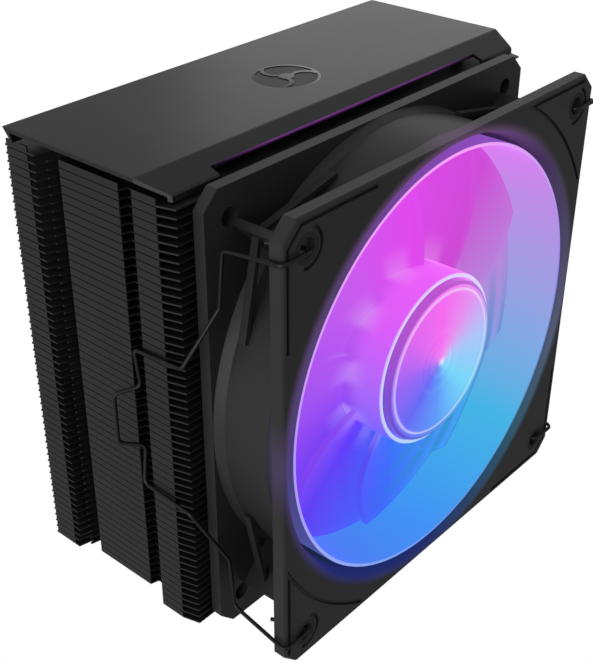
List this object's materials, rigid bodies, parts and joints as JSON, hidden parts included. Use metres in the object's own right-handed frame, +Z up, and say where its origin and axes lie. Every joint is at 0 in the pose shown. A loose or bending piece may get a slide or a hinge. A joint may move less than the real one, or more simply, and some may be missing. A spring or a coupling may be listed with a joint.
{
  "type": "cpu tower cooler",
  "caption": "Tower cooler for a desktop processor: folded fins on heat pipes over a contact plate, sheet cover, lit axial fan held by wire clips.",
  "frame": {"origin": "centre of the contact face under the base", "axes": "+Z up along the tower, +Y the way the fan blows (front to rear), +X to the right seen from the fan"},
  "size_m": [0.1406, 0.0926, 0.1542],
  "materials": {
    "satin_cover": "satin dark grey anodised sheet",
    "badge": "brushed foil",
    "dark_fins": "dark coated sheet",
    "plated_pipe": "dark nickel plating",
    "copper": "polished copper",
    "block": "machined",
    "zinc_steel": "zinc plated",
    "spring_steel": "drawn wire",
    "moulded_frame": "fine moulded texture",
    "bush_rubber": "soft rubber",
    "clear_blades": "clear moulding lit from the hub",
    "clear_cap": "clear moulding lit from behind",
    "yoke_steel": "pressed steel",
    "magnet": "bonded ferrite",
    "brass": "turned brass",
    "shaft_steel": "ground steel",
    "sintered": "oil soaked bronze",
    "nylon": "nylon",
    "laminations": "stamped laminations",
    "enamel_wire": "enamelled copper wire",
    "board": "glass fibre laminate",
    "lamp": "clear lens",
    "clip_wire": "black coated spring wire"
  },
  "bodies": {
    "cooler": {"top_cover": "satin_cover", "cover_emblem": "badge", "top_fin": "dark_fins", "fins": "dark_fins", "lower_fins": "dark_fins", "heat_pipe_1": "plated_pipe", "heat_pipe_2": "plated_pipe", "heat_pipe_3": "plated_pipe", "heat_pipe_4": "plated_pipe", "cold_plate": "copper", "base_block": "block", "base_screws": "zinc_steel", "mount_bar": "zinc_steel", "bar_screws": "zinc_steel", "front_screw_spring": "spring_steel", "rear_screw_spring": "spring_steel", "fan_frame": "moulded_frame", "front_corner_bushes": "bush_rubber", "rear_corner_bushes": "bush_rubber", "bearing_sleeve": "sintered", "bearing_tube": "nylon", "stator_core": "laminations", "stator_coils": "enamel_wire", "motor_board": "board", "lamps": "lamp"},
    "rotor": {"impeller": "clear_blades", "hub_cap": "clear_cap", "rotor_yoke": "yoke_steel", "magnet_ring": "magnet", "shaft_boss": "brass", "rotor_shaft": "shaft_steel", "shaft_washer": "nylon"},
    "left_clip": {"left_fan_clip": "clip_wire"},
    "right_clip": {"right_fan_clip": "clip_wire"},
    "front_cup": {"front_screw_cup": "zinc_steel"},
    "rear_cup": {"rear_screw_cup": "zinc_steel"},
    "front_screw": {"front_mount_screw": "zinc_steel", "front_retaining_clip": "spring_steel"},
    "rear_screw": {"rear_mount_screw": "zinc_steel", "rear_retaining_clip": "spring_steel"}
  },
  "joints": [
    {"name": "impeller_spin", "type": "hinge", "parent": "cooler", "child": "rotor", "pos_m": [0, -0.03975, 0.092], "axis": [0, 1, 0], "continuous": true},
    {"name": "left_clip_swing", "type": "hinge", "parent": "cooler", "child": "left_clip", "pos_m": [-0.051, -0.05305, 0.092], "axis": [0, 0, 1], "range_deg": [0, 8]},
    {"name": "right_clip_swing", "type": "hinge", "parent": "cooler", "child": "right_clip", "pos_m": [0.051, -0.05305, 0.092], "axis": [0, 0, -1], "range_deg": [0, 8]},
    {"name": "front_screw_press", "type": "slide", "parent": "cooler", "child": "front_cup", "axis": [0, 0, -1], "range_m": [0, 0.0035], "stiffness_N_per_m": 2000, "springref_m": -0.001, "deforming": ["front_screw_spring"]},
    {"name": "front_screw_turn", "type": "hinge", "parent": "front_cup", "child": "front_screw", "pos_m": [0, -0.033, 0.02], "axis": [0, 0, 1], "continuous": true},
    {"name": "rear_screw_press", "type": "slide", "parent": "cooler", "child": "rear_cup", "axis": [0, 0, -1], "range_m": [0, 0.0035], "stiffness_N_per_m": 2000, "springref_m": -0.001, "deforming": ["rear_screw_spring"]},
    {"name": "rear_screw_turn", "type": "hinge", "parent": "rear_cup", "child": "rear_screw", "pos_m": [0, 0.033, 0.02], "axis": [0, 0, 1], "continuous": true}
  ]
}
